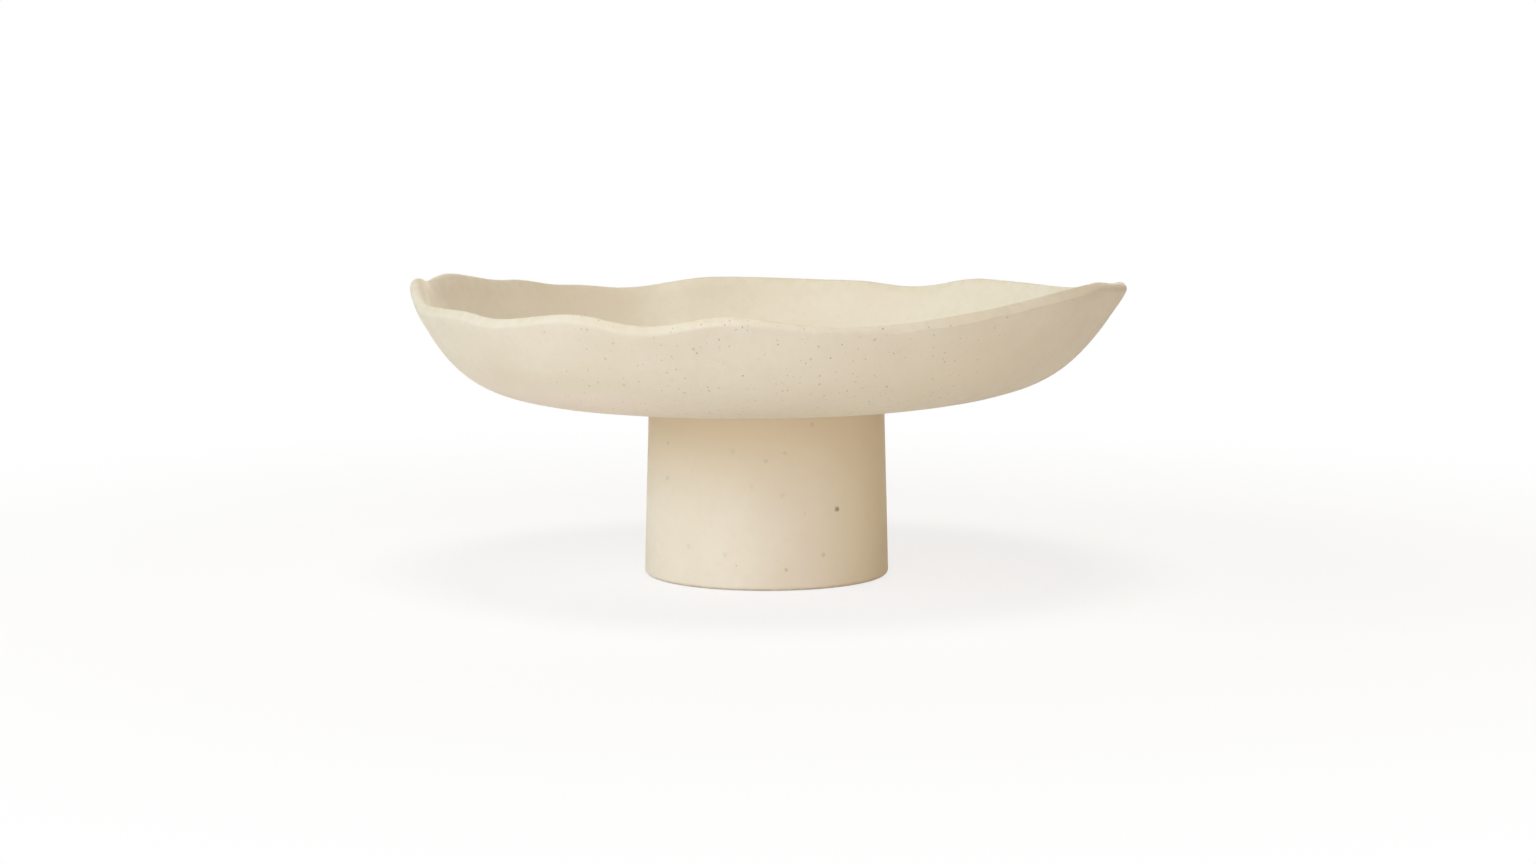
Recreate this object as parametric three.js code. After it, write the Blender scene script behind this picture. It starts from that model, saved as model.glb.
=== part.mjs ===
// Footed serving dish: a wide, shallow stoneware bowl with a hand-drawn rim, luted onto a hollow
// round foot. Millimetres, +Z up, standing on Z = 0 with the foot's axis on the Z axis. The front
// faces -Y, and azimuths are degrees counter-clockwise from +X.

import * as THREE from "three";

// Foot: a hollow, slightly tapered cylinder, open at the bottom
const FOOT_HEIGHT = 72;
const FOOT_BASE_RADIUS = 51.5;
const FOOT_TOP_RADIUS = 49.5;
const FOOT_WALL = 6;
const FOOT_EDGE_ROUND = 2;

// Luted joint: a layer of slip on top of the foot, and a coil pressed into the corner inside it
const SEAM_THICKNESS = 1;
const COIL_LEG = 7;
const COIL_EDGE = 1;
const COIL_CLEARANCE = 0.3;

// Bowl: a flat floor that passes the foot by a ledge, and a wall that turns up and leans out
const FLOOR_LEDGE = 20.5;
const FLOOR_THICKNESS = 7;
const WALL_THICKNESS = 6;
const RIM_RADIUS = 143;
const RIM_HEIGHT = 44;

// The wall's middle surface heads along the floor for a point this far inside the rim and this far
// above the floor, higher on the right than on the left by the sway
const HEEL_INSET = 33.5;
const HEEL_LIFT = 3.4;
const HEEL_SWAY = 2.9;

// It meets the lip on a line that starts this far inside the rim, further in on the right by the
// sway, and holds to that line for this share of it
const WALL_FLARE = 20.3;
const FLARE_SWAY = 2.5;
const FLARE_HOLD = 0.9;

// Crests and dips of the rim: azimuth, then reach beyond RIM_RADIUS and rise above RIM_HEIGHT
const RIM_WAVES = [
  [5, 4, 4],
  [27, 1.5, -0.7],
  [47, -1, 0.3],
  [62.5, 0, -4.7],
  [74, -2, -2.5],
  [100, -4, -1],
  [116.5, 0, -5.3],
  [129, 1, -3],
  [142, 2, 0.8],
  [162, 3.5, 6.3],
  [169, 4, 4.6],
  [180, 3, 7.2],
  [195, 0.5, -1],
  [213, -0.5, -0.5],
  [222, 0, -2],
  [238, -2.5, 1.5],
  [251, -2, -2],
  [264, -3.5, 2],
  [281, -1, -2],
  [336, 2, 9.7],
  [343, 3.4, 8.2],
  [349, 4, 7.6],
];

// Facets
const BOWL_STEPS = 120;
const FOOT_STEPS = 72;
const WALL_ROWS = 12;
const LIP_ROWS = 6;
const ROUND_ROWS = 3;

const { degToRad, euclideanModulo, lerp, smoothstep } = THREE.MathUtils;
const FULL_TURN = 360;

const undersideHeight = FOOT_HEIGHT + SEAM_THICKNESS;
const floorRadius = FOOT_TOP_RADIUS + FLOOR_LEDGE;

// A solid of revolution about Z. The profile's points are (radius, height), counter-clockwise.
function turned(profile, steps) {
  return new THREE.LatheGeometry(profile, steps).rotateX(Math.PI / 2);
}

function part(name, geometry, color, roughness) {
  const material = new THREE.MeshStandardMaterial({ color, roughness, metalness: 0 });
  const mesh = new THREE.Mesh(geometry, material);
  mesh.name = name;
  return mesh;
}

// The rim at one azimuth, eased from the crest or dip behind it to the one ahead
function rimWave(azimuth) {
  const ahead = ([at]) => euclideanModulo(at - azimuth, FULL_TURN);
  const waves = [...RIM_WAVES].sort((a, b) => ahead(a) - ahead(b));
  const next = waves[0];
  const last = waves[waves.length - 1];
  const passed = FULL_TURN - ahead(last);
  const share = smoothstep(passed, 0, passed + ahead(next));
  const [, reach, rise] = last.map((value, column) => lerp(value, next[column], share));
  return { reach, rise };
}

// The middle of the bowl's wall at one azimuth, from the edge of the floor to the centre of the lip
function wallCurve(azimuth) {
  const { reach, rise } = rimWave(azimuth);
  const rightward = Math.cos(degToRad(azimuth));
  const floorMiddle = FLOOR_THICKNESS / 2;
  const lipHeight = RIM_HEIGHT + rise - WALL_THICKNESS / 2;
  const floorEdge = new THREE.Vector2(floorRadius, floorMiddle);
  const heel = new THREE.Vector2(RIM_RADIUS - HEEL_INSET, floorMiddle + HEEL_LIFT + HEEL_SWAY * rightward);
  const flareStart = new THREE.Vector2(RIM_RADIUS - WALL_FLARE - FLARE_SWAY * rightward, floorMiddle);
  const lip = new THREE.Vector2(RIM_RADIUS + reach, lipHeight);
  const flare = lip.clone().lerp(flareStart, FLARE_HOLD);
  return new THREE.CubicBezierCurve(floorEdge, heel, flare, lip);
}

// The bowl's section at one azimuth: out along the underside, over the round lip and back inside
function bowlSection(azimuth) {
  const middle = wallCurve(azimuth);
  const outside = [new THREE.Vector2(0, 0)];
  const inside = [new THREE.Vector2(0, FLOOR_THICKNESS)];
  for (let row = 0; row <= WALL_ROWS; row++) {
    const along = row / WALL_ROWS;
    const point = middle.getPoint(along);
    const tangent = middle.getTangent(along);
    const half = lerp(FLOOR_THICKNESS, WALL_THICKNESS, along) / 2;
    const outward = new THREE.Vector2(tangent.y, -tangent.x).multiplyScalar(half);
    outside.push(point.clone().add(outward));
    inside.unshift(point.clone().sub(outward));
  }
  const lip = middle.getPoint(1);
  const lipStart = middle.getTangent(1).angle() - Math.PI / 2;
  for (let row = 1; row < LIP_ROWS; row++) {
    const angle = lipStart + (Math.PI * row) / LIP_ROWS;
    const spoke = new THREE.Vector2(Math.cos(angle), Math.sin(angle));
    outside.push(lip.clone().addScaledVector(spoke, WALL_THICKNESS / 2));
  }
  return [...outside, ...inside];
}

// Every meridian of a lathe is given the section of its own azimuth
function bowl() {
  const rows = bowlSection(0).length;
  const geometry = turned(bowlSection(0), BOWL_STEPS);
  const { position } = geometry.attributes;
  for (let step = 0; step <= BOWL_STEPS; step++) {
    const azimuth = ((step % BOWL_STEPS) * FULL_TURN) / BOWL_STEPS;
    const cos = Math.cos(degToRad(azimuth));
    const sin = Math.sin(degToRad(azimuth));
    bowlSection(azimuth).forEach((point, row) => {
      position.setXYZ(step * rows + row, point.x * cos, point.x * sin, undersideHeight + point.y);
    });
  }
  return part("dish_bowl", geometry, "#dfd5c1", 0.7);
}

function footRadius(height) {
  return lerp(FOOT_BASE_RADIUS, FOOT_TOP_RADIUS, height / FOOT_HEIGHT);
}

function foot() {
  const innerBase = FOOT_BASE_RADIUS - FOOT_WALL;
  const profile = new THREE.Path();
  profile.moveTo(innerBase + FOOT_EDGE_ROUND, 0);
  profile.lineTo(FOOT_BASE_RADIUS - FOOT_EDGE_ROUND, 0);
  profile.quadraticCurveTo(FOOT_BASE_RADIUS, 0, footRadius(FOOT_EDGE_ROUND), FOOT_EDGE_ROUND);
  profile.lineTo(FOOT_TOP_RADIUS, FOOT_HEIGHT);
  profile.lineTo(FOOT_TOP_RADIUS - FOOT_WALL, FOOT_HEIGHT);
  profile.lineTo(footRadius(FOOT_EDGE_ROUND) - FOOT_WALL, FOOT_EDGE_ROUND);
  profile.quadraticCurveTo(innerBase, 0, innerBase + FOOT_EDGE_ROUND, 0);
  return part("pedestal_foot", turned(profile.getPoints(ROUND_ROWS), FOOT_STEPS), "#ded0b6", 0.75);
}

// The slip fills the joint from the inside of the foot's wall to its outside
function slipSeam() {
  const inner = FOOT_TOP_RADIUS - FOOT_WALL;
  const profile = new THREE.Path();
  profile.moveTo(inner, FOOT_HEIGHT);
  profile.lineTo(FOOT_TOP_RADIUS, FOOT_HEIGHT);
  profile.lineTo(FOOT_TOP_RADIUS, undersideHeight);
  profile.lineTo(inner, undersideHeight);
  profile.lineTo(inner, FOOT_HEIGHT);
  return part("slip_seam", turned(profile.getPoints(), FOOT_STEPS), "#cdbfa4", 0.8);
}

// The coil is thumbed hollow between the bowl's underside and the inside of the foot
function jointCoil() {
  const bottom = undersideHeight - COIL_LEG;
  const outerTop = FOOT_TOP_RADIUS - FOOT_WALL - COIL_CLEARANCE;
  const outerBottom = footRadius(bottom) - FOOT_WALL - COIL_CLEARANCE;
  const inner = outerTop - COIL_LEG;
  const profile = new THREE.Path();
  profile.moveTo(outerBottom - COIL_EDGE, bottom);
  profile.lineTo(outerBottom, bottom);
  profile.lineTo(outerTop, undersideHeight);
  profile.lineTo(inner, undersideHeight);
  profile.lineTo(inner, undersideHeight - COIL_EDGE);
  profile.quadraticCurveTo(
    outerBottom - COIL_EDGE,
    undersideHeight - COIL_EDGE,
    outerBottom - COIL_EDGE,
    bottom,
  );
  return part("joint_coil", turned(profile.getPoints(ROUND_ROWS), FOOT_STEPS), "#d2c4a9", 0.8);
}

const servingDish = new THREE.Group();
servingDish.add(bowl(), foot(), slipSeam(), jointCoil());

export default servingDish;
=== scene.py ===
import math

import bmesh
import bpy
import numpy as np
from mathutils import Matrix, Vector, noise


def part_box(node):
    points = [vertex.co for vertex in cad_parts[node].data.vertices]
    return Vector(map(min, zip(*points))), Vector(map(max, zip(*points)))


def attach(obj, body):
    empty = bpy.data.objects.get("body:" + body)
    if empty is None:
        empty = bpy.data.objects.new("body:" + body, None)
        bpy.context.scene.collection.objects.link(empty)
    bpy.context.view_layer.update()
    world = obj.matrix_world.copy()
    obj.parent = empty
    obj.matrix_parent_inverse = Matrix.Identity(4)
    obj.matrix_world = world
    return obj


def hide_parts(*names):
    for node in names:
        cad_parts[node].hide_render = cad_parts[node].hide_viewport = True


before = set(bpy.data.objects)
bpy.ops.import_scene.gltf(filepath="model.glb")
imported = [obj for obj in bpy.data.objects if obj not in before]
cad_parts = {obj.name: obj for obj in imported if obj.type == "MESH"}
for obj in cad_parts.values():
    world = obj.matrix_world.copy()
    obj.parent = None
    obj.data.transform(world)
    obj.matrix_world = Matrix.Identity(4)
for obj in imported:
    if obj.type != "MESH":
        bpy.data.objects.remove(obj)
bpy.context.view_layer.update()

# Looks of the footed serving dish, in metres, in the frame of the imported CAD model.
# Each CAD node gets a finer piece in the same place, with the marks that hands leave in clay.

# Rows of the CAD bowl's wall, from its floor to its lip and from the lip down inside
CAD_WALL_ROWS = 12

# Fineness of the meshes
WELD = 1e-6
ROW_SPACING = 0.0016
LEAST_ROWS = 4
STEPS_PER_CAD_STEP = 4
FLOOR_SPACING = 0.003
TURNED_STEPS = 360
ARC_POINTS = 7

# Steps of a ring that are repeated past its ends, so that its curve closes smoothly
WRAPPED_STEPS = 3

# Marks in the clay: how far apart they are and how deep they go below the CAD surface
PRESS_LENGTH, PRESS_DEPTH = 0.042, 0.00018
DAB_LENGTH, DAB_DEPTH = 0.010, 0.00008
RING_SPACING, RING_DEPTH = 0.0075, 0.0003
THUMB_COUNT, THUMB_DEPTH = 22, 0.0006

# Over this length the marks fade towards a joint and the table, and the foot has this share of them
JOINT_FADE = 0.003
FOOT_MARK_SHARE = 0.4

# The lip is round, but cut flat and unevenly along two stretches of the front: degrees of azimuth
# to the middle, from there to the fading ends and through them, and how soft the cut's edges are
LIP_CUTS = (
    (230, 30, 14, 0.0011),
    (310, 16, 12, 0.0003),
)

# The cut leans outward by so many degrees, and passes the lip's middle at a share of its radius
# that varies between two limits, over a length
CUT_TILT = 25
CUT_DEEP, CUT_SHALLOW = 0.54, 0.82
CUT_LENGTH = 0.011

# Under the lip the wall is drawn in: how far below the crest that starts, is deepest and has faded,
# how deep it goes and how far apart it varies
CREASE_TOP, CREASE_MIDDLE, CREASE_END = 0.0030, 0.0070, 0.0260
CREASE_DEPTH = 0.0006
CREASE_LENGTH = 0.030

# Edges of the turned pieces
FOOT_BASE_ROUND = 0.002
FOOT_TOP_ROUND = 0.0003
SEAM_ROUND = 0.0001
COIL_EDGE = 0.001
COIL_ROUND = 0.0003

# Colours of the fired clay and of the grains in it
BOWL_PALE, BOWL_DEEP = "#E6DDCB", "#E0D5C1"
FOOT_PALE, FOOT_DEEP = "#F0E7D5", "#EBE0CB"
SLIP_PALE, SLIP_DEEP = "#DED0B7", "#D3C3A6"
COIL_PALE, COIL_DEEP = "#DCCDB2", "#CDBC9D"
IRON, FAINT_IRON, PALE_GROG = "#6C4E26", "#A2865E", "#F1EBDD"

# The deep tone comes in soft clouds and in fine mottling: their length, the part of the noise over
# which it comes in, and the most of it that they give
CLOUD_LENGTH, CLOUD_EDGE, CLOUD_SHARE = 0.05, (0.35, 0.65), 0.65
MOTTLE_LENGTH, MOTTLE_EDGE, MOTTLE_SHARE = 0.004, (0.40, 0.75), 0.35

# Sandy relief with pits in it
SAND_LENGTH = 0.0012
PIT_SPACING, PIT_RADIUS, PIT_DEPTH = 0.0028, 0.0006, 0.7
RELIEF_STRENGTH, RELIEF_HEIGHT = 0.5, 0.00012

# Roughness, which follows the mottling and is less on the grains
ROUGH_EDGE, ROUGH_LEAST, ROUGH_MOST = (0.3, 0.7), 0.60, 0.74
GRAIN_GLOSS = 0.12
SPECULAR = 0.35

# The middle of a noise node's values
NOISE_MIDDLE = 0.5

# Painted light, making the bowl paler outside low on the left, where light from below falls: where
# it fades across and up
PAINTED_LOW_LEFT_LIGHT = "#EDE2D3"
PAINTED_LIGHT_REACH, PAINTED_LIGHT_HEIGHT = (-0.065, -0.025), (0.082, 0.093)

# The lip, which handling and wiping thin: how far down, how much, and where in the mottling
LIP_WARMTH = "#DCD0AC"
LIP_WEAR_LENGTH, LIP_WEAR_SHARE, LIP_WEAR_EDGE = 0.004, 0.38, (0.35, 0.65)

# Painted shade on the foot: warmer and darker high up under the bowl, fading down over a length,
# and warmer on its right, fading in across a reach
UNDER_BOWL_SHADE, UNDER_BOWL_SHADE_LENGTH = "#EBDABD", 0.045
RIGHT_SIDE_SHADE, RIGHT_SIDE_SHADE_REACH = "#EDE2C6", (0.010, 0.045)

# The ring that the foot stands on, bare and rubbed up to an uneven height
BARE_CLAY, BARE_SHARE = "#C9B595", 0.8
BARE_HEIGHT, BARE_UNEVENNESS = (0.0006, 0.0018), 0.0012

# Layers of grains: spacing, greatest radius, strength and colour
FINE_GRAINS = (0.0022, 0.00050, 0.58, IRON)
FAINT_GRAINS = (0.0034, 0.0008, 0.32, FAINT_IRON)
PALE_GRAINS = (0.0022, 0.0006, 0.60, PALE_GROG)
SPARSE_GRAINS = (0.010, 0.0009, 0.35, FAINT_IRON)

# The soft edge of a grain and the solid middle of a speck, as shares of the radius, and how far
# apart and how deep their outlines are uneven
GRAIN_EDGE, SPECK_CORE = 1 / 2, 1 / 3
RAG_LENGTH, RAG_DEPTH = 0.0009, 0.0012

# Specks on the foot, those that the photo shows and then a few like them on the back: degrees right
# of the front, height, radius and strength
FOOT_SPECKS = (
    (34.8, 0.0325, 0.0015, 0.62),
    (27.0, 0.0142, 0.0015, 0.18),
    (9.0, 0.0088, 0.0011, 0.25),
    (-0.3, 0.0533, 0.0012, 0.14),
    (22.0, 0.0678, 0.0012, 0.14),
    (-54.5, 0.0437, 0.0015, 0.13),
    (-7.0, 0.0430, 0.0015, 0.06),
    (7.2, 0.0393, 0.0015, 0.08),
    (8.5, 0.0565, 0.0014, 0.08),
    (-16.0, 0.0570, 0.0015, 0.07),
    (-39.0, 0.0168, 0.0015, 0.08),
    (-19.5, 0.0148, 0.0014, 0.08),
    (128.0, 0.0472, 0.0015, 0.45),
    (169.0, 0.0205, 0.0013, 0.25),
    (-138.0, 0.0560, 0.0012, 0.20),
    (-106.0, 0.0290, 0.0015, 0.16),
    (112.0, 0.0130, 0.0014, 0.14),
    (-163.0, 0.0395, 0.0015, 0.08),
    (148.0, 0.0610, 0.0014, 0.08),
    (-121.0, 0.0115, 0.0015, 0.10),
)

# The patch on the front of the bowl where its grains gather, and the share of them elsewhere
PATCH_MIDDLE = (0.004, -0.130, 0.098)
PATCH_EDGE = 0.060, 0.120
PATCH_LEAST = 0.62

# The patches outside on its back: where the back begins, their length and their edges in the noise
BACK_EDGE = 0.010, 0.040
BACK_PATCH_LENGTH, BACK_PATCH_EDGE = 0.09, (0.40, 0.55)

# Camera of the photo
IMAGE_WIDTH = 1536
FOCAL_PIXELS = 3230
SENSOR_WIDTH = 36
CAMERA_PLACE = Vector((0.0006, -1.350, 0.2138))
CAMERA_AIM = Vector((0.0006, 0, 0.0595))

# Floor
FLOOR_SIZE = 8
FLOOR_DROP = 0.0002
FLOOR_COLOR = "#FEFAF6"

# How far from the middle the floor shows this share of the shadow on it, and from where it is white
SHADOW_REACH, SHADOW_END = 0.12, 0.60
SHADOW_SHARE = 0.23

# Light
AMBIENT_COLOR, AMBIENT_STRENGTH = "#FFE8CA", 0.13
LAMP_AIM = Vector((0, 0, 0.08))
LAMP_DISTANCE = 1.8

# Lamps: degrees right of the front and above the horizon as seen from the dish, size, watts, colour
LAMPS = (
    ("left", -78, 23, 0.8, 11.0, "#EBF8FF"),
    ("front", -8, 19, 1.5, 16.5, "#F2F6FF"),
    ("right", 60, 25, 0.8, 2.2, "#FFB85C"),
    ("top", 0, 86, 0.8, 14.0, "#FDFFF6"),
    ("back", 170, 8, 0.8, 9.0, "#FFFAF0"),
)


def linear(code):
    """A hex colour as the linear RGBA that Blender's sockets take."""
    parts = [int(code[i:i + 2], 16) / 255 for i in (1, 3, 5)]
    return (*[p / 12.92 if p <= 0.04045 else ((p + 0.055) / 1.055) ** 2.4 for p in parts], 1)


# Shapes read from the frame

def neighbours(vert):
    return [edge.other_vert(vert) for edge in vert.link_edges]


def sections_of(name):
    """The half sections of a CAD bowl, one for each azimuth: points from the middle of its
    underside, over the lip, to the middle of its floor."""
    bm = bmesh.new()
    bm.from_mesh(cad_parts[name].data)
    bmesh.ops.remove_doubles(bm, verts=bm.verts, dist=WELD)
    under, floor = sorted((v for v in bm.verts if v.co.xy.length < WELD), key=lambda v: v.co.z)
    sections = []
    for first in sorted(neighbours(under), key=lambda v: math.atan2(v.co.y, v.co.x)):
        section = [under, first]
        while section[-1] is not floor:
            onward = [v for v in neighbours(section[-1]) if v not in section]
            section.append(min(onward, key=lambda v: abs(v.co.xy.cross(first.co.xy))))
        sections.append([v.co.copy() for v in section])
    bm.free()
    return np.array(sections)


def radii_of(name):
    """The least and the greatest distance of a CAD node's points from the axis."""
    radii = [v.co.xy.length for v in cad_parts[name].data.vertices]
    return min(radii), max(radii)


# Curves and rings

def refined(places, spacing, least):
    """The places with steps between them, at most spacing long and at least so many to each gap."""
    finer = []
    for start, end in zip(places, places[1:]):
        count = max(least, math.ceil((end - start) / spacing))
        finer.extend(np.linspace(start, end, count, endpoint=False))
    return np.array([*finer, places[-1]])


def smooth_through(points, places, wanted):
    """Points at the wanted places on the smooth curves through points, which lie at places."""
    slopes = np.gradient(points, places, axis=0, edge_order=2)
    at = np.clip(np.searchsorted(places, wanted, side="right") - 1, 0, len(places) - 2)
    gap = (places[at + 1] - places[at])[:, None, None]
    t = (wanted - places[at])[:, None, None] / gap
    from_start = (1 + 2 * t) * (1 - t) ** 2 * points[at] + t * (1 - t) ** 2 * gap * slopes[at]
    from_end = t ** 2 * (3 - 2 * t) * points[at + 1] - t ** 2 * (1 - t) * gap * slopes[at + 1]
    return from_start + from_end


def finer_round(rings, factor):
    """The rings with more points round them, on the smooth closed curve through their own."""
    steps = rings.shape[1]
    columns = rings.transpose(1, 0, 2)
    wrapped = np.concatenate([columns[-WRAPPED_STEPS:], columns, columns[:WRAPPED_STEPS]])
    places = np.arange(-WRAPPED_STEPS, steps + WRAPPED_STEPS)
    return smooth_through(wrapped, places, np.arange(steps * factor) / factor).transpose(1, 0, 2)


def disc(edge, middle):
    """Rings from the middle point out to the edge ring, without the edge itself."""
    count = math.ceil(np.linalg.norm(edge[0] - middle) / FLOOR_SPACING)
    shares = np.linspace(0, 1, count, endpoint=False)[:, None, None]
    return middle + (edge - middle) * shares


def rounded(corners):
    """A closed outline of (across, up) points through (across, up, rounding) corners."""
    outline = []
    previous, following = corners[-1:] + corners[:-1], corners[1:] + corners[:1]
    for before, corner, after in zip(previous, corners, following):
        here = np.array(corner[:2])
        back = np.array(before[:2]) - here
        back /= np.linalg.norm(back)
        onward = np.array(after[:2]) - here
        onward /= np.linalg.norm(onward)
        half = math.acos(back @ onward) / 2
        turn = math.pi - 2 * half
        middle = here + (back + onward) / np.linalg.norm(back + onward) * corner[2] / math.sin(half)
        start = here + back * corner[2] / math.tan(half) - middle
        end = here + onward * corner[2] / math.tan(half) - middle
        for share in np.linspace(0, 1, ARC_POINTS):
            bend = math.sin((1 - share) * turn) * start + math.sin(share * turn) * end
            outline.append(middle + bend / math.sin(turn))
    return np.array(outline)


def turned(outline):
    """Rings of a closed outline turned about the axis, with short steps along its straight runs."""
    closed = np.concatenate([outline, outline[:1]])
    lengths = np.linalg.norm(np.diff(closed, axis=0), axis=1)
    places = np.concatenate([[0], np.cumsum(lengths)])
    wanted = refined(places, ROW_SPACING, 1)[:-1]
    across = np.interp(wanted, places, closed[:, 0])[:, None]
    up = np.interp(wanted, places, closed[:, 1])[:, None]
    angle = np.arange(TURNED_STEPS) * math.tau / TURNED_STEPS
    return np.stack([across * np.cos(angle), across * np.sin(angle), up + 0 * angle], axis=-1)


# Marks in the clay

def normals_of(rings, closed):
    """Outward normals at the points of rings that run up the outside."""
    around = np.roll(rings, -1, axis=1) - np.roll(rings, 1, axis=1)
    if closed:
        onward = np.roll(rings, -1, axis=0) - np.roll(rings, 1, axis=0)
    else:
        onward = np.gradient(rings, axis=0)
    normals = np.cross(around, onward)
    normals /= np.maximum(np.linalg.norm(normals, axis=-1, keepdims=True), WELD ** 2)
    if not closed:
        normals[0] = normals[1]
        normals[-1] = normals[-2]
    return normals


def soft_noise(rings, length):
    """Smooth noise from 0 to 1 at each point, about length from one hollow to the next."""
    values = [noise.noise(Vector(p) / length) for p in rings.reshape(-1, 3)]
    return np.clip(0.5 + 0.5 * np.array(values), 0, 1).reshape(rings.shape[:2])


def eased(values, low, high):
    """0 below low, 1 above high, smooth between."""
    t = np.clip((values - low) / (high - low), 0, 1)
    return t * t * (3 - 2 * t)


def wave(angle):
    """A wave from 0 to 1, and 1 at angle 0."""
    return 0.5 + 0.5 * np.cos(angle)


def hand_marks(rings):
    """The depth of the soft hollows that fingers and a sponge leave all over."""
    return PRESS_DEPTH * soft_noise(rings, PRESS_LENGTH) + DAB_DEPTH * soft_noise(rings, DAB_LENGTH)


def cut_lip(rings, start, end):
    """The rings with the round lip between two of them cut flat along the front. What stands proud
    of the cut is taken off, with the edges eased."""
    middle = (rings[start] + rings[end]) / 2
    outward = rings[start] - middle
    upward = rings[(start + end) // 2] - middle
    radius = np.linalg.norm(outward, axis=-1)
    tilt = math.radians(CUT_TILT)
    facing = math.sin(tilt) * outward + math.cos(tilt) * upward
    facing /= np.linalg.norm(facing, axis=-1, keepdims=True)
    azimuth = np.degrees(np.arctan2(middle[:, 1], middle[:, 0])) % 360
    depth = radius * (CUT_DEEP + (CUT_SHALLOW - CUT_DEEP) * soft_noise(middle[None], CUT_LENGTH))
    proud = ((rings[start:end + 1] - middle) * facing).sum(axis=-1) - depth
    shaped = rings.copy()
    for mid_azimuth, half, fade, softness in LIP_CUTS:
        edge = np.maximum(proud + softness, 0) ** 2 / (4 * softness)
        taken = np.where(proud < softness, edge, proud)
        cut = eased(half + fade - np.abs(azimuth - mid_azimuth), 0, fade)
        shaped[start:end + 1] -= facing * (cut * taken)[..., None]
    return shaped


def crease(rings, below_lip):
    """The depth to which the wall is drawn in under the lip."""
    start = eased(below_lip, CREASE_TOP, CREASE_MIDDLE)
    fade = eased(CREASE_END - below_lip, 0, CREASE_END - CREASE_MIDDLE)
    return CREASE_DEPTH * start * fade * soft_noise(rings, CREASE_LENGTH)


# Mesh pieces

def skin(name, rings, closed, fields=None):
    """A mesh object over rings of points. Fields are named values at the points, which the material
    reads."""
    bm = bmesh.new()
    layers = {field: bm.verts.layers.float.new(field) for field in fields or {}}
    grid = [[bm.verts.new(point) for point in ring] for ring in rings]
    for field, layer in layers.items():
        for ring, values in zip(grid, fields[field]):
            for vert, value in zip(ring, values):
                vert[layer] = value
    for low, high in zip(grid, grid[1:] + (grid[:1] if closed else [])):
        for a, b, c, d in zip(low, low[1:] + low[:1], high[1:] + high[:1], high):
            bm.faces.new((a, b, c, d)).smooth = True
    bmesh.ops.remove_doubles(bm, verts=bm.verts, dist=WELD)
    mesh = bpy.data.meshes.new(name)
    bm.to_mesh(mesh)
    bm.free()
    piece = bpy.data.objects.new(name, mesh)
    bpy.context.scene.collection.objects.link(piece)
    return piece


def place(piece, node, material):
    """The piece stands for a CAD node, which is hidden; the piece hangs from the root body and
    takes a slot with its material.
    """
    piece.data.materials.append(material)
    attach(piece, "root")
    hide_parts(node)


def bowl():
    """The CAD bowl's own sections, made finer, with the lip cut and the marks of hands."""
    sections = sections_of("dish_bowl")
    middles = sections[0, 0], sections[0, -1]
    wall = sections[:, 1:-1].transpose(1, 0, 2)
    gaps = np.linalg.norm(np.diff(wall, axis=0), axis=-1).mean(axis=1)
    places = np.concatenate([[0], np.cumsum(gaps)])
    wanted = refined(places, ROW_SPACING, LEAST_ROWS)
    lip_places = places[CAD_WALL_ROWS], places[-1 - CAD_WALL_ROWS]
    lip_start, lip_end = np.searchsorted(wanted, lip_places)
    wall = finer_round(smooth_through(wall, places, wanted), STEPS_PER_CAD_STEP)
    wall = cut_lip(wall, lip_start, lip_end)
    rings = np.concatenate([disc(wall[0], middles[0]), wall, disc(wall[-1], middles[1])[::-1]])
    crest = rings[..., 2].max(axis=0)
    below_lip = crest - rings[..., 2]
    above_joint = rings[..., 2] - rings[0, 0, 2]
    depth = hand_marks(rings) * eased(above_joint, 0, JOINT_FADE)
    outside = np.arange(len(rings))[:, None] < rings[..., 2].argmax(axis=0)
    depth += outside * crease(rings, below_lip)
    rings = rings - normals_of(rings, False) * depth[..., None]
    fields = {"below_lip": below_lip, "outside": outside.astype(float)}
    return skin("bowl", rings, False, fields)


def foot():
    """The hollow foot, smoother outside than the bowl and with finger rings inside."""
    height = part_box("pedestal_foot")[1].z
    base = radii_of("pedestal_foot")[1]
    inner, top = radii_of("slip_seam")
    wall = top - inner
    rings = turned(rounded([
        (base, 0, FOOT_BASE_ROUND),
        (top, height, FOOT_TOP_ROUND),
        (top - wall, height, FOOT_TOP_ROUND),
        (base - wall, 0, FOOT_BASE_ROUND),
    ]))
    radius = np.linalg.norm(rings[..., :2], axis=-1)
    up = rings[..., 2]
    middle = np.interp(up, (0, height), (base, top)) - wall / 2
    inside = eased(middle - radius, 0, wall / 2)
    free = eased(up, 0, JOINT_FADE) * eased(height - up, 0, JOINT_FADE)
    angle = np.arctan2(rings[..., 1], rings[..., 0])
    finger_rings = wave(math.tau * up / RING_SPACING + angle)
    depth = free * (FOOT_MARK_SHARE * hand_marks(rings) + RING_DEPTH * inside * finger_rings)
    rings = rings - normals_of(rings, True) * depth[..., None]
    return skin("foot", rings, True)


def seam():
    """The layer of slip between the foot and the bowl."""
    low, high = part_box("slip_seam")
    inner, outer = radii_of("slip_seam")
    return skin("slip_line", turned(rounded([
        (outer, low.z, SEAM_ROUND),
        (outer, high.z, SEAM_ROUND),
        (inner, high.z, SEAM_ROUND),
        (inner, low.z, SEAM_ROUND),
    ])), True)


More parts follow.
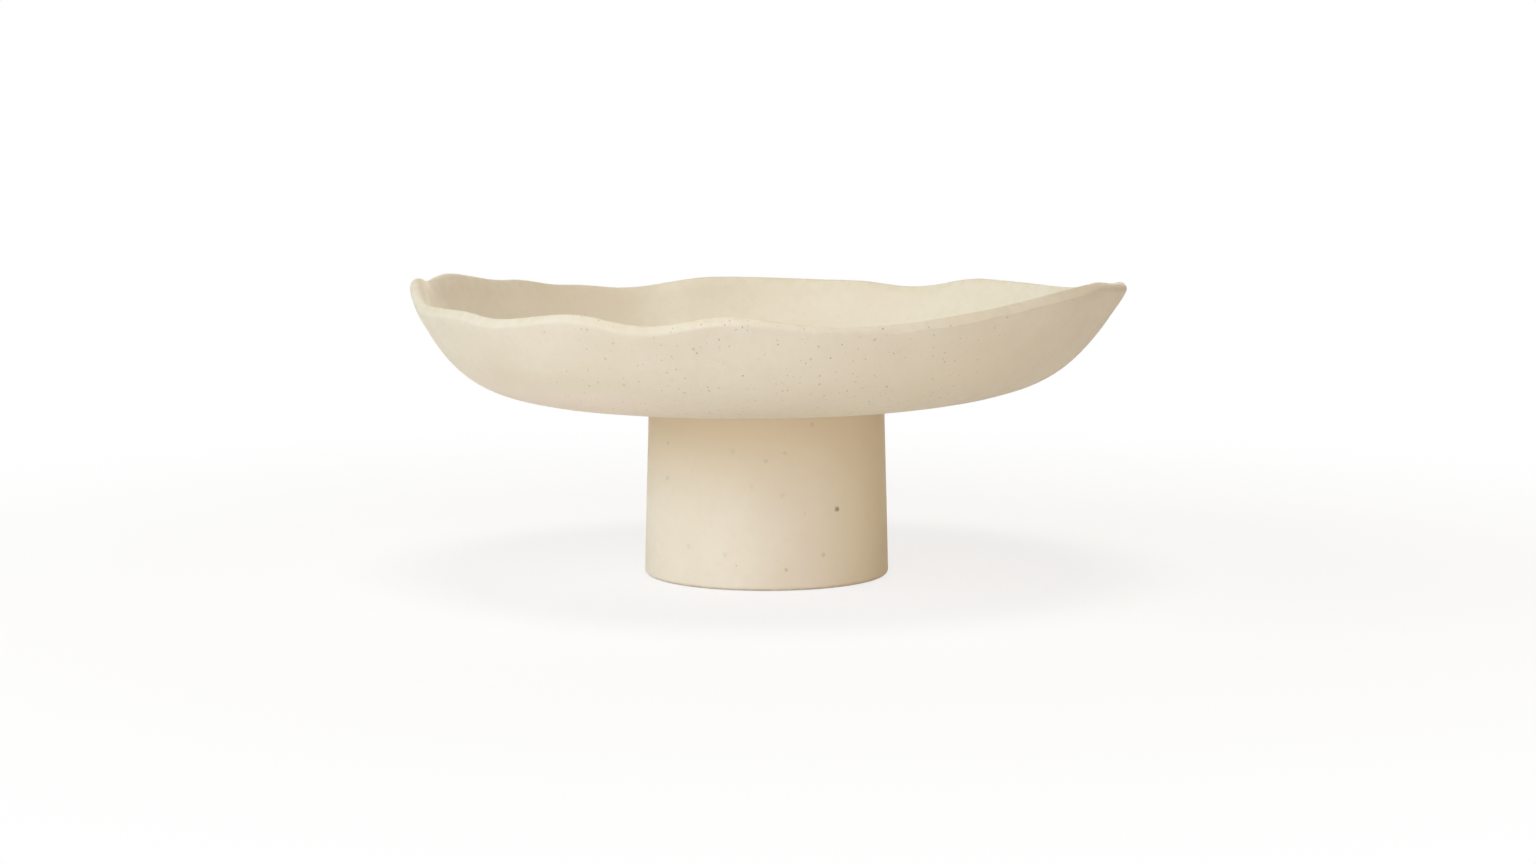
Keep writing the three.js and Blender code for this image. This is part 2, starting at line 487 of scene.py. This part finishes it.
def coil():
    """The coil in the corner inside the foot, pressed hollow by thumbs."""
    low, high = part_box("joint_coil")
    inner, outer = radii_of("joint_coil")
    fillet = outer - inner - 2 * COIL_EDGE
    rings = turned(rounded([
        (outer, low.z, COIL_ROUND),
        (outer, high.z, COIL_ROUND),
        (inner, high.z, COIL_ROUND),
        (inner, high.z - COIL_EDGE, COIL_ROUND),
        (outer - COIL_EDGE, high.z - COIL_EDGE, fillet),
        (outer - COIL_EDGE, low.z, COIL_ROUND),
    ]))
    angle = np.arctan2(rings[..., 1], rings[..., 0])
    radius = np.linalg.norm(rings[..., :2], axis=-1)
    inward = outer - radius
    thumbs = wave(THUMB_COUNT * angle) * eased(inward, COIL_EDGE / 2, COIL_EDGE)
    free = eased(high.z - rings[..., 2], 0, COIL_EDGE)
    depth = free * (THUMB_DEPTH * thumbs + hand_marks(rings) * eased(inward, 0, COIL_EDGE))
    rings = rings - normals_of(rings, True) * depth[..., None]
    return skin("joint_fillet", rings, True)


# Materials

def add(tree, kind, inputs=None, **settings):
    """A new node with its settings and inputs. An input is a value or another node's output."""
    made = tree.nodes.new(kind)
    for name, value in settings.items():
        setattr(made, name, value)
    for name, value in (inputs or {}).items():
        if isinstance(value, bpy.types.NodeSocket):
            tree.links.new(value, made.inputs[name])
        else:
            made.inputs[name].default_value = value
    return made


def calculated(tree, operation, first, second):
    """The result of an operation on two numbers, each a value or another node's output."""
    return add(tree, "ShaderNodeMath", {0: first, 1: second}, operation=operation).outputs[0]


def ramp(tree, value, low, high, to_low=0.0, to_high=1.0):
    """The value taken from low and high to to_low and to_high, smoothly and held outside them."""
    inputs = {
        "Value": value,
        "From Min": low,
        "From Max": high,
        "To Min": to_low,
        "To Max": to_high,
    }
    node = add(tree, "ShaderNodeMapRange", inputs, interpolation_type="SMOOTHSTEP")
    return node.outputs["Result"]


def tint(tree, amount, first, second):
    """The first colour with an amount of the second over it."""
    return add(tree, "ShaderNodeMix", {0: amount, 6: first, 7: second}, data_type="RGBA").outputs[2]


def cloud(tree, place_in_clay, length):
    """Smooth noise with features about length across."""
    inputs = {"Vector": place_in_clay, "Scale": 1 / length}
    return add(tree, "ShaderNodeTexNoise", inputs).outputs["Fac"]


def ragged(tree, place_in_clay):
    """The place moved a little to and fro, so that what is drawn there gets an uneven outline."""
    inputs = {"Vector": place_in_clay, "Scale": 1 / RAG_LENGTH}
    wander = add(tree, "ShaderNodeTexNoise", inputs).outputs["Color"]
    inputs = {0: wander, 1: (NOISE_MIDDLE,) * 3}
    wander = add(tree, "ShaderNodeVectorMath", inputs, operation="SUBTRACT").outputs["Vector"]
    inputs = {0: wander, 1: (RAG_DEPTH,) * 3, 2: place_in_clay}
    return add(tree, "ShaderNodeVectorMath", inputs, operation="MULTIPLY_ADD").outputs["Vector"]


def grains(tree, place_in_clay, spacing, radius, share=1.0):
    """Round grains of all sizes up to radius, scattered through the clay: 1 in a grain and 0
    between. Where the share is less than 1 they are fewer and smaller."""
    cells = add(tree, "ShaderNodeTexVoronoi", {"Vector": place_in_clay, "Scale": 1 / spacing})
    chance = add(tree, "ShaderNodeSeparateColor", {"Color": cells.outputs["Color"]}).outputs["Red"]
    held = calculated(tree, "SUBTRACT", calculated(tree, "ADD", chance, share), 1.0)
    size = calculated(tree, "MULTIPLY", held, radius / spacing)
    inside = calculated(tree, "SUBTRACT", size, cells.outputs["Distance"])
    return ramp(tree, inside, 0, GRAIN_EDGE * radius / spacing)


def speck(tree, place_in_clay, middle, radius):
    """One grain at a given place."""
    inputs = {0: place_in_clay, 1: middle}
    distance = add(tree, "ShaderNodeVectorMath", inputs, operation="DISTANCE").outputs["Value"]
    return ramp(tree, distance, SPECK_CORE * radius, radius, 1.0, 0.0)


def stoneware(name, pale, deep, grain_layers, share_of=None, wear_and_painted_light=None, specks=()):
    """Matte fired clay: two tones in soft clouds, fine mottling, grains and a fine sandy relief.
    Share_of gives the share of the grains at each place; the next argument gives the amounts and
    colours laid over the tones, which are wear and painted light and shade. Specks are single
    grains of iron."""
    material = bpy.data.materials.new(name)
    material.use_nodes = True
    tree = material.node_tree
    clay = add(tree, "ShaderNodeTexCoord").outputs["Object"]
    clouds = ramp(tree, cloud(tree, clay, CLOUD_LENGTH), *CLOUD_EDGE, 0.0, CLOUD_SHARE)
    mottle = cloud(tree, clay, MOTTLE_LENGTH)
    mottling = ramp(tree, mottle, *MOTTLE_EDGE, 0.0, MOTTLE_SHARE)
    color = tint(tree, clouds, linear(pale), linear(deep))
    color = tint(tree, mottling, color, linear(deep))
    # Wear, and also painted light and shade, laid over the tones
    for amount, wear_and_painted_light_color in wear_and_painted_light(tree, clay, mottle) if wear_and_painted_light else ():
        color = tint(tree, amount, color, linear(wear_and_painted_light_color))
    share = share_of(tree, clay) if share_of else 1.0
    uneven = ragged(tree, clay)
    grained = 0.0
    for spacing, radius, strength, grain_color in grain_layers:
        layer = calculated(tree, "MULTIPLY", grains(tree, uneven, spacing, radius, share), strength)
        color = tint(tree, layer, color, linear(grain_color))
        grained = calculated(tree, "MAXIMUM", layer, grained)
    for middle, radius, strength in specks:
        mark = calculated(tree, "MULTIPLY", speck(tree, uneven, middle, radius), strength)
        color = tint(tree, mark, color, linear(IRON))
        grained = calculated(tree, "MAXIMUM", mark, grained)
    sand = cloud(tree, clay, SAND_LENGTH)
    pits = calculated(tree, "MULTIPLY", grains(tree, clay, PIT_SPACING, PIT_RADIUS), PIT_DEPTH)
    height = calculated(tree, "SUBTRACT", sand, pits)
    inputs = {"Height": height, "Strength": RELIEF_STRENGTH, "Distance": RELIEF_HEIGHT}
    bump = add(tree, "ShaderNodeBump", inputs)
    rough = ramp(tree, mottle, *ROUGH_EDGE, ROUGH_LEAST, ROUGH_MOST)
    rough = calculated(tree, "SUBTRACT", rough, calculated(tree, "MULTIPLY", grained, GRAIN_GLOSS))
    shader = tree.nodes["Principled BSDF"]
    tree.links.new(color, shader.inputs["Base Color"])
    tree.links.new(rough, shader.inputs["Roughness"])
    tree.links.new(bump.outputs["Normal"], shader.inputs["Normal"])
    shader.inputs["Specular IOR Level"].default_value = SPECULAR
    return material


def gathered(tree, clay):
    """The share of the grains on the bowl: most in a wide patch on the front, in patches outside on
    the back, and fewer inside."""
    distance = add(tree, "ShaderNodeVectorMath", {0: clay, 1: PATCH_MIDDLE}, operation="DISTANCE")
    front = ramp(tree, distance.outputs["Value"], *PATCH_EDGE, 1.0, PATCH_LEAST)
    outside = add(tree, "ShaderNodeAttribute", attribute_name="outside").outputs["Fac"]
    backward = add(tree, "ShaderNodeSeparateXYZ", {"Vector": clay}).outputs["Y"]
    back = calculated(tree, "MULTIPLY", outside, ramp(tree, backward, *BACK_EDGE))
    patches = cloud(tree, clay, BACK_PATCH_LENGTH)
    patches = ramp(tree, patches, *BACK_PATCH_EDGE, PATCH_LEAST, 1.0)
    return calculated(tree, "MAXIMUM", front, calculated(tree, "MULTIPLY", back, patches))


def lip_wear_and_painted_light(tree, clay, mottle):
    """Painted light that makes the clay paler outside, low on the left, and the lip, where handling
    and wiping thin the surface."""
    axes = add(tree, "ShaderNodeSeparateXYZ", {"Vector": clay}).outputs
    # Painted light: paler clay outside, low on the left, where light from below falls on the wall
    left = ramp(tree, axes["X"], *PAINTED_LIGHT_REACH, 1.0, 0.0)
    low = ramp(tree, axes["Z"], *PAINTED_LIGHT_HEIGHT, 1.0, 0.0)
    outside = add(tree, "ShaderNodeAttribute", attribute_name="outside").outputs["Fac"]
    pale = calculated(tree, "MULTIPLY", calculated(tree, "MULTIPLY", left, low), outside)
    below = add(tree, "ShaderNodeAttribute", attribute_name="below_lip").outputs["Fac"]
    edge = ramp(tree, below, 0.0, LIP_WEAR_LENGTH, LIP_WEAR_SHARE, 0.0)
    thin = calculated(tree, "MULTIPLY", edge, ramp(tree, mottle, *LIP_WEAR_EDGE))
    return [(pale, PAINTED_LOW_LEFT_LIGHT), (thin, LIP_WARMTH)]


def foot_wear_and_painted_shade(tree, clay, mottle):
    """Painted warm shade on the foot's right and high up under the bowl, and the bare ring."""
    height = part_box("pedestal_foot")[1].z
    axes = add(tree, "ShaderNodeSeparateXYZ", {"Vector": clay}).outputs
    # Painted shade: warmer and darker on the foot's right side
    right_side_shade = ramp(tree, axes["X"], *RIGHT_SIDE_SHADE_REACH)
    # Painted shade: warmer and darker high on the foot, under the bowl
    under_bowl_shade = ramp(tree, axes["Z"], height - UNDER_BOWL_SHADE_LENGTH, height)
    uneven = calculated(tree, "MULTIPLY", mottle, BARE_UNEVENNESS)
    bare = ramp(tree, calculated(tree, "ADD", axes["Z"], uneven), *BARE_HEIGHT, BARE_SHARE, 0.0)
    return [(right_side_shade, RIGHT_SIDE_SHADE), (under_bowl_shade, UNDER_BOWL_SHADE), (bare, BARE_CLAY)]


def foot_specks():
    """Places, radii and strengths of the specks on the outside of the foot."""
    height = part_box("pedestal_foot")[1].z
    base = radii_of("pedestal_foot")[1]
    top = radii_of("slip_seam")[1]
    for turn, up, radius, strength in FOOT_SPECKS:
        out = base + (top - base) * up / height
        angle = math.radians(turn)
        yield (out * math.sin(angle), -out * math.cos(angle), up), radius, strength


bowl_clay = stoneware(
    "bowl_clay", BOWL_PALE, BOWL_DEEP, (PALE_GRAINS, FAINT_GRAINS, FINE_GRAINS),
    share_of=gathered, wear_and_painted_light=lip_wear_and_painted_light,
)
foot_clay = stoneware(
    "foot_clay", FOOT_PALE, FOOT_DEEP, (SPARSE_GRAINS,),
    wear_and_painted_light=foot_wear_and_painted_shade, specks=foot_specks(),
)
slip_clay = stoneware("slip_clay", SLIP_PALE, SLIP_DEEP, (SPARSE_GRAINS,))
coil_clay = stoneware("coil_clay", COIL_PALE, COIL_DEEP, (SPARSE_GRAINS, FINE_GRAINS))

place(bowl(), "dish_bowl", bowl_clay)
place(foot(), "pedestal_foot", foot_clay)
place(seam(), "slip_seam", slip_clay)
place(coil(), "joint_coil", coil_clay)


# Floor, light and camera

def seen_directly(tree):
    """1 for rays from the camera, in a reflection or through glass, and 0 for light on things."""
    path = add(tree, "ShaderNodeLightPath").outputs
    seen = calculated(tree, "MAXIMUM", path["Is Camera Ray"], path["Is Glossy Ray"])
    return calculated(tree, "MAXIMUM", seen, path["Is Transmission Ray"])


def floor():
    """A pale floor that looks white and keeps a soft shadow of the dish."""
    half = FLOOR_SIZE / 2
    mesh = bpy.data.meshes.new("floor")
    corners = ((-half, -half), (half, -half), (half, half), (-half, half))
    mesh.from_pydata([(x, y, -FLOOR_DROP) for x, y in corners], [], [(0, 1, 2, 3)])
    sheet = bpy.data.objects.new("floor", mesh)
    bpy.context.scene.collection.objects.link(sheet)
    material = bpy.data.materials.new("floor_white")
    material.use_nodes = True
    tree = material.node_tree
    tree.nodes.remove(tree.nodes["Principled BSDF"])
    where = add(tree, "ShaderNodeTexCoord").outputs["Object"]
    distance = add(tree, "ShaderNodeVectorMath", {0: where}, operation="LENGTH").outputs["Value"]
    far = ramp(tree, distance, SHADOW_REACH, SHADOW_END, 1 - SHADOW_SHARE, 1.0)
    matte = add(tree, "ShaderNodeBsdfDiffuse", {"Color": linear(FLOOR_COLOR)}).outputs["BSDF"]
    white = add(tree, "ShaderNodeEmission").outputs["Emission"]
    amount = calculated(tree, "MULTIPLY", far, seen_directly(tree))
    surface = add(tree, "ShaderNodeMixShader", {0: amount, 1: matte, 2: white}).outputs["Shader"]
    tree.links.new(surface, tree.nodes["Material Output"].inputs["Surface"])
    mesh.materials.append(material)


def surroundings():
    """Weak light from all round, behind a background that looks white."""
    world = bpy.data.worlds.new("studio")
    world.use_nodes = True
    bpy.context.scene.world = world
    tree = world.node_tree
    ambient = tree.nodes["Background"]
    ambient.inputs["Color"].default_value = linear(AMBIENT_COLOR)
    ambient.inputs["Strength"].default_value = AMBIENT_STRENGTH
    white = add(tree, "ShaderNodeBackground", {"Color": (1, 1, 1, 1), "Strength": 1.0})
    dim, bright = ambient.outputs["Background"], white.outputs["Background"]
    mixed = add(tree, "ShaderNodeMixShader", {0: seen_directly(tree), 1: dim, 2: bright})
    tree.links.new(mixed.outputs["Shader"], tree.nodes["World Output"].inputs["Surface"])


def softbox(name, turn, climb, size, watts, color):
    """A square lamp at the distance and aim that all lamps share."""
    lamp = bpy.data.lights.new(name, "AREA")
    lamp.shape = "SQUARE"
    lamp.size = size
    lamp.energy = watts
    lamp.color = linear(color)[:3]
    right, up = math.radians(turn), math.radians(climb)
    away = Vector((math.sin(right) * math.cos(up), -math.cos(right) * math.cos(up), math.sin(up)))
    holder = bpy.data.objects.new(name, lamp)
    holder.location = LAMP_AIM + LAMP_DISTANCE * away
    holder.rotation_euler = (-away).to_track_quat("-Z", "Y").to_euler()
    holder.visible_camera = False
    bpy.context.scene.collection.objects.link(holder)


def camera():
    """The camera that was fitted to the photo."""
    lens = bpy.data.cameras.new("camera")
    lens.sensor_width = SENSOR_WIDTH
    lens.lens = SENSOR_WIDTH * FOCAL_PIXELS / IMAGE_WIDTH
    holder = bpy.data.objects.new("camera", lens)
    holder.location = CAMERA_PLACE
    holder.rotation_euler = (CAMERA_AIM - CAMERA_PLACE).to_track_quat("-Z", "Y").to_euler()
    bpy.context.scene.collection.objects.link(holder)
    bpy.context.scene.camera = holder


floor()
surroundings()
for lamp in LAMPS:
    softbox(*lamp)
camera()
bpy.context.scene.view_settings.view_transform = "Standard"
